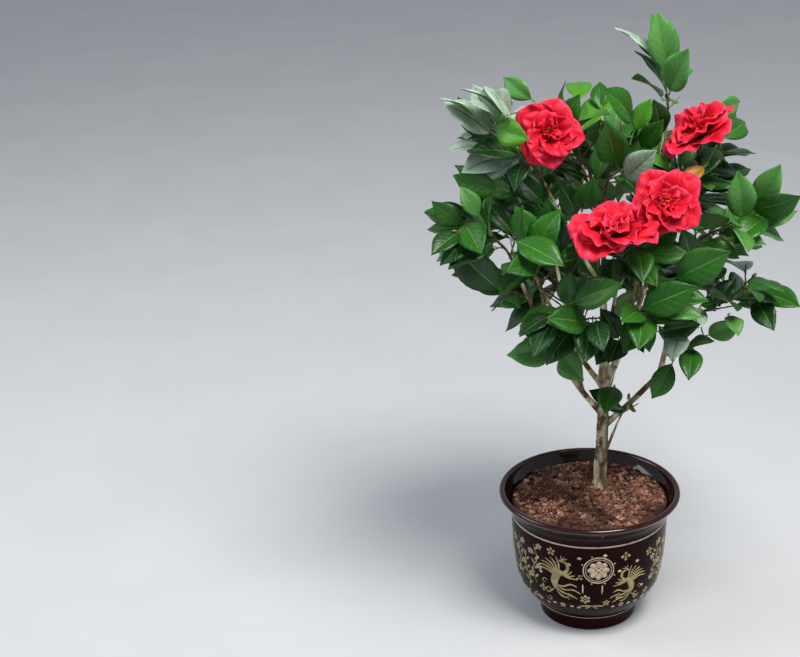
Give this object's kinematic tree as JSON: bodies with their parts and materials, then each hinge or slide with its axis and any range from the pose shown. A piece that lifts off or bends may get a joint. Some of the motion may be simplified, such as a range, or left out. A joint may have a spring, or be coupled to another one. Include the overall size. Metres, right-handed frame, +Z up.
{
  "type": "potted camellia shrub",
  "caption": "Small camellia shrub with glossy oval leaves and double red blooms on a slim forked trunk, in a dark glazed flared pot filled with soil.",
  "frame": {"origin": "centre of the pot's flat underside, on the surface it stands on", "axes": "+Z up along the pot's axis, +X to the viewer's right, +Y away from the viewer, who sees the open side of the crown with the front blooms"},
  "size_m": [0.4231, 0.3425, 0.7311],
  "materials": {
    "glaze": "very dark oxblood gloss glaze with thin gold lines and painted gold figures",
    "soil": "matt crumbly reddish-brown potting soil",
    "bark": "matt grey-brown bark, smooth with brown patches",
    "foliage": "glossy deep green leaves on brown twigs",
    "flowering_foliage": "satin red double blooms among glossy deep green leaves"
  },
  "bodies": {
    "root": {"pot": "glaze", "soil": "soil", "trunk": "bark", "back_bough": "bark", "back_right_bough": "bark", "centre_top_bough": "bark", "front_bough": "bark", "front_low_bough": "bark", "front_right_bough": "bark", "leader_bough": "bark", "left_bough": "bark", "left_front_bough": "bark", "left_lower_bough": "bark", "left_middle_bough": "bark", "low_back_left_bough": "bark", "low_back_right_bough": "bark", "low_centre_bough": "bark", "low_left_bough": "bark", "low_right_bough": "bark", "right_bough": "bark", "right_centre_bough": "bark", "right_lower_bough": "bark", "right_upper_bough": "bark", "second_left_bough": "bark", "top_bough": "bark", "trunk_twig_bough": "bark", "upper_left_bough": "bark", "back_left_spray": "foliage", "back_right_spray": "foliage", "back_spray": "foliage", "centre_top_shoot": "foliage", "front_lower_spray": "foliage", "front_right_spray": "foliage", "front_spray": "flowering_foliage", "left_front_spray": "foliage", "left_lower_spray": "foliage", "left_middle_spray": "foliage", "left_spray": "foliage", "low_back_left_spray": "foliage", "low_back_right_spray": "foliage", "low_centre_spray": "foliage", "low_left_spray": "foliage", "low_right_spray": "foliage", "right_lower_spray": "foliage", "right_spray": "foliage", "top_shoot": "foliage", "trunk_shoot": "foliage", "upper_centre_spray": "foliage", "upper_left_spray": "flowering_foliage", "upper_right_spray": "flowering_foliage"}
  },
  "joints": []
}
